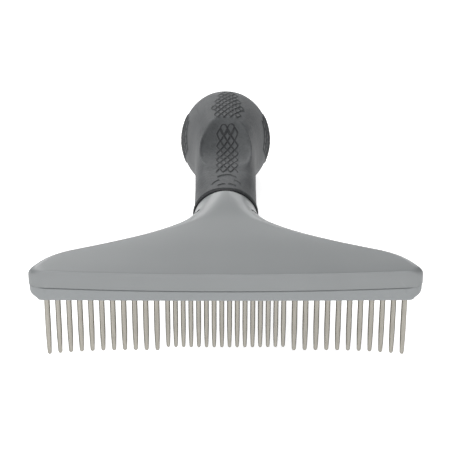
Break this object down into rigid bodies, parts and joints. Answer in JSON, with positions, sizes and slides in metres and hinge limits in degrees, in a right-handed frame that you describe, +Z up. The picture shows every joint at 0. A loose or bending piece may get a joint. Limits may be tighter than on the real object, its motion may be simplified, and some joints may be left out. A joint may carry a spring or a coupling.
{
  "type": "undercoat rake",
  "caption": "T-shaped pet grooming rake with a row of free-turning steel pins under a delta-shaped head and a rubber-covered handle ending in a palm-filling bulb.",
  "frame": {"origin": "middle of the footprint, on the surface that the rake stands on", "axes": "+X along the pin row, +Y from the head back to the end of the handle, +Z up, against the pins' direction"},
  "size_m": [0.1542, 0.1684, 0.0519],
  "materials": {
    "head_plastic": "satin",
    "strip_plastic": "satin",
    "retainer_plastic": "matte",
    "core_plastic": "matte",
    "collar_rubber": "matte",
    "grip_rubber": "matte",
    "pin_steel": "polished",
    "screw_steel": "satin"
  },
  "bodies": {
    "rake": {"head_shell": "head_plastic", "head_cover": "head_plastic", "pin_strip": "strip_plastic", "pin_retainer": "retainer_plastic", "strip_screws": "screw_steel", "cover_screws": "screw_steel", "tang_screws": "screw_steel", "handle_core_left": "core_plastic", "handle_core_right": "core_plastic", "core_screws": "screw_steel", "core_plug": "core_plastic", "collar": "collar_rubber", "rubber_grip": "grip_rubber"},
    "pin_01": {"pin_01": "pin_steel"},
    "pin_02": {"pin_02": "pin_steel"},
    "pin_03": {"pin_03": "pin_steel"},
    "pin_04": {"pin_04": "pin_steel"},
    "pin_05": {"pin_05": "pin_steel"},
    "pin_06": {"pin_06": "pin_steel"},
    "pin_07": {"pin_07": "pin_steel"},
    "pin_08": {"pin_08": "pin_steel"},
    "pin_09": {"pin_09": "pin_steel"},
    "pin_10": {"pin_10": "pin_steel"},
    "pin_11": {"pin_11": "pin_steel"},
    "pin_12": {"pin_12": "pin_steel"},
    "pin_13": {"pin_13": "pin_steel"},
    "pin_14": {"pin_14": "pin_steel"},
    "pin_15": {"pin_15": "pin_steel"},
    "pin_16": {"pin_16": "pin_steel"},
    "pin_17": {"pin_17": "pin_steel"},
    "pin_18": {"pin_18": "pin_steel"},
    "pin_19": {"pin_19": "pin_steel"},
    "pin_20": {"pin_20": "pin_steel"},
    "pin_21": {"pin_21": "pin_steel"},
    "pin_22": {"pin_22": "pin_steel"},
    "pin_23": {"pin_23": "pin_steel"},
    "pin_24": {"pin_24": "pin_steel"},
    "pin_25": {"pin_25": "pin_steel"},
    "pin_26": {"pin_26": "pin_steel"},
    "pin_27": {"pin_27": "pin_steel"},
    "pin_28": {"pin_28": "pin_steel"},
    "pin_29": {"pin_29": "pin_steel"},
    "pin_30": {"pin_30": "pin_steel"},
    "pin_31": {"pin_31": "pin_steel"},
    "pin_32": {"pin_32": "pin_steel"},
    "pin_33": {"pin_33": "pin_steel"},
    "pin_34": {"pin_34": "pin_steel"},
    "pin_35": {"pin_35": "pin_steel"},
    "pin_36": {"pin_36": "pin_steel"},
    "pin_37": {"pin_37": "pin_steel"},
    "pin_38": {"pin_38": "pin_steel"}
  },
  "joints": [
    {"name": "pin_01_spin", "type": "hinge", "parent": "rake", "child": "pin_01", "pos_m": [-0.07037, -0.07712, 0.0337], "axis": [0, 0, 1], "continuous": true},
    {"name": "pin_02_spin", "type": "hinge", "parent": "rake", "child": "pin_02", "pos_m": [-0.06605, -0.07744, 0.0337], "axis": [0, 0, 1], "continuous": true},
    {"name": "pin_03_spin", "type": "hinge", "parent": "rake", "child": "pin_03", "pos_m": [-0.06173, -0.07773, 0.0337], "axis": [0, 0, 1], "continuous": true},
    {"name": "pin_04_spin", "type": "hinge", "parent": "rake", "child": "pin_04", "pos_m": [-0.0574, -0.078, 0.0337], "axis": [0, 0, 1], "continuous": true},
    {"name": "pin_05_spin", "type": "hinge", "parent": "rake", "child": "pin_05", "pos_m": [-0.05307, -0.07826, 0.0337], "axis": [0, 0, 1], "continuous": true},
    {"name": "pin_06_spin", "type": "hinge", "parent": "rake", "child": "pin_06", "pos_m": [-0.04875, -0.07849, 0.0337], "axis": [0, 0, 1], "continuous": true},
    {"name": "pin_07_spin", "type": "hinge", "parent": "rake", "child": "pin_07", "pos_m": [-0.04442, -0.0787, 0.0337], "axis": [0, 0, 1], "continuous": true},
    {"name": "pin_08_spin", "type": "hinge", "parent": "rake", "child": "pin_08", "pos_m": [-0.0401, -0.0789, 0.0337], "axis": [0, 0, 1], "continuous": true},
    {"name": "pin_09_spin", "type": "hinge", "parent": "rake", "child": "pin_09", "pos_m": [-0.03578, -0.07907, 0.0337], "axis": [0, 0, 1], "continuous": true},
    {"name": "pin_10_spin", "type": "hinge", "parent": "rake", "child": "pin_10", "pos_m": [-0.03145, -0.07923, 0.0337], "axis": [0, 0, 1], "continuous": true},
    {"name": "pin_11_spin", "type": "hinge", "parent": "rake", "child": "pin_11", "pos_m": [-0.02712, -0.07936, 0.0337], "axis": [0, 0, 1], "continuous": true},
    {"name": "pin_12_spin", "type": "hinge", "parent": "rake", "child": "pin_12", "pos_m": [-0.0228, -0.07947, 0.0337], "axis": [0, 0, 1], "continuous": true},
    {"name": "pin_13_spin", "type": "hinge", "parent": "rake", "child": "pin_13", "pos_m": [-0.01976, -0.07954, 0.0337], "axis": [0, 0, 1], "continuous": true},
    {"name": "pin_14_spin", "type": "hinge", "parent": "rake", "child": "pin_14", "pos_m": [-0.01672, -0.0796, 0.0337], "axis": [0, 0, 1], "continuous": true},
    {"name": "pin_15_spin", "type": "hinge", "parent": "rake", "child": "pin_15", "pos_m": [-0.01368, -0.07965, 0.0337], "axis": [0, 0, 1], "continuous": true},
    {"name": "pin_16_spin", "type": "hinge", "parent": "rake", "child": "pin_16", "pos_m": [-0.01064, -0.07969, 0.0337], "axis": [0, 0, 1], "continuous": true},
    {"name": "pin_17_spin", "type": "hinge", "parent": "rake", "child": "pin_17", "pos_m": [-0.0076, -0.07972, 0.0337], "axis": [0, 0, 1], "continuous": true},
    {"name": "pin_18_spin", "type": "hinge", "parent": "rake", "child": "pin_18", "pos_m": [-0.00456, -0.07974, 0.0337], "axis": [0, 0, 1], "continuous": true},
    {"name": "pin_19_spin", "type": "hinge", "parent": "rake", "child": "pin_19", "pos_m": [-0.00152, -0.07975, 0.0337], "axis": [0, 0, 1], "continuous": true},
    {"name": "pin_20_spin", "type": "hinge", "parent": "rake", "child": "pin_20", "pos_m": [0.00152, -0.07975, 0.0337], "axis": [0, 0, 1], "continuous": true},
    {"name": "pin_21_spin", "type": "hinge", "parent": "rake", "child": "pin_21", "pos_m": [0.00456, -0.07974, 0.0337], "axis": [0, 0, 1], "continuous": true},
    {"name": "pin_22_spin", "type": "hinge", "parent": "rake", "child": "pin_22", "pos_m": [0.0076, -0.07972, 0.0337], "axis": [0, 0, 1], "continuous": true},
    {"name": "pin_23_spin", "type": "hinge", "parent": "rake", "child": "pin_23", "pos_m": [0.01064, -0.07969, 0.0337], "axis": [0, 0, 1], "continuous": true},
    {"name": "pin_24_spin", "type": "hinge", "parent": "rake", "child": "pin_24", "pos_m": [0.01368, -0.07965, 0.0337], "axis": [0, 0, 1], "continuous": true},
    {"name": "pin_25_spin", "type": "hinge", "parent": "rake", "child": "pin_25", "pos_m": [0.01672, -0.0796, 0.0337], "axis": [0, 0, 1], "continuous": true},
    {"name": "pin_26_spin", "type": "hinge", "parent": "rake", "child": "pin_26", "pos_m": [0.01976, -0.07954, 0.0337], "axis": [0, 0, 1], "continuous": true},
    {"name": "pin_27_spin", "type": "hinge", "parent": "rake", "child": "pin_27", "pos_m": [0.0228, -0.07947, 0.0337], "axis": [0, 0, 1], "continuous": true},
    {"name": "pin_28_spin", "type": "hinge", "parent": "rake", "child": "pin_28", "pos_m": [0.02712, -0.07936, 0.0337], "axis": [0, 0, 1], "continuous": true},
    {"name": "pin_29_spin", "type": "hinge", "parent": "rake", "child": "pin_29", "pos_m": [0.03145, -0.07923, 0.0337], "axis": [0, 0, 1], "continuous": true},
    {"name": "pin_30_spin", "type": "hinge", "parent": "rake", "child": "pin_30", "pos_m": [0.03578, -0.07907, 0.0337], "axis": [0, 0, 1], "continuous": true},
    {"name": "pin_31_spin", "type": "hinge", "parent": "rake", "child": "pin_31", "pos_m": [0.0401, -0.0789, 0.0337], "axis": [0, 0, 1], "continuous": true},
    {"name": "pin_32_spin", "type": "hinge", "parent": "rake", "child": "pin_32", "pos_m": [0.04442, -0.0787, 0.0337], "axis": [0, 0, 1], "continuous": true},
    {"name": "pin_33_spin", "type": "hinge", "parent": "rake", "child": "pin_33", "pos_m": [0.04875, -0.07849, 0.0337], "axis": [0, 0, 1], "continuous": true},
    {"name": "pin_34_spin", "type": "hinge", "parent": "rake", "child": "pin_34", "pos_m": [0.05307, -0.07826, 0.0337], "axis": [0, 0, 1], "continuous": true},
    {"name": "pin_35_spin", "type": "hinge", "parent": "rake", "child": "pin_35", "pos_m": [0.0574, -0.078, 0.0337], "axis": [0, 0, 1], "continuous": true},
    {"name": "pin_36_spin", "type": "hinge", "parent": "rake", "child": "pin_36", "pos_m": [0.06173, -0.07773, 0.0337], "axis": [0, 0, 1], "continuous": true},
    {"name": "pin_37_spin", "type": "hinge", "parent": "rake", "child": "pin_37", "pos_m": [0.06605, -0.07744, 0.0337], "axis": [0, 0, 1], "continuous": true},
    {"name": "pin_38_spin", "type": "hinge", "parent": "rake", "child": "pin_38", "pos_m": [0.07037, -0.07712, 0.0337], "axis": [0, 0, 1], "continuous": true}
  ]
}
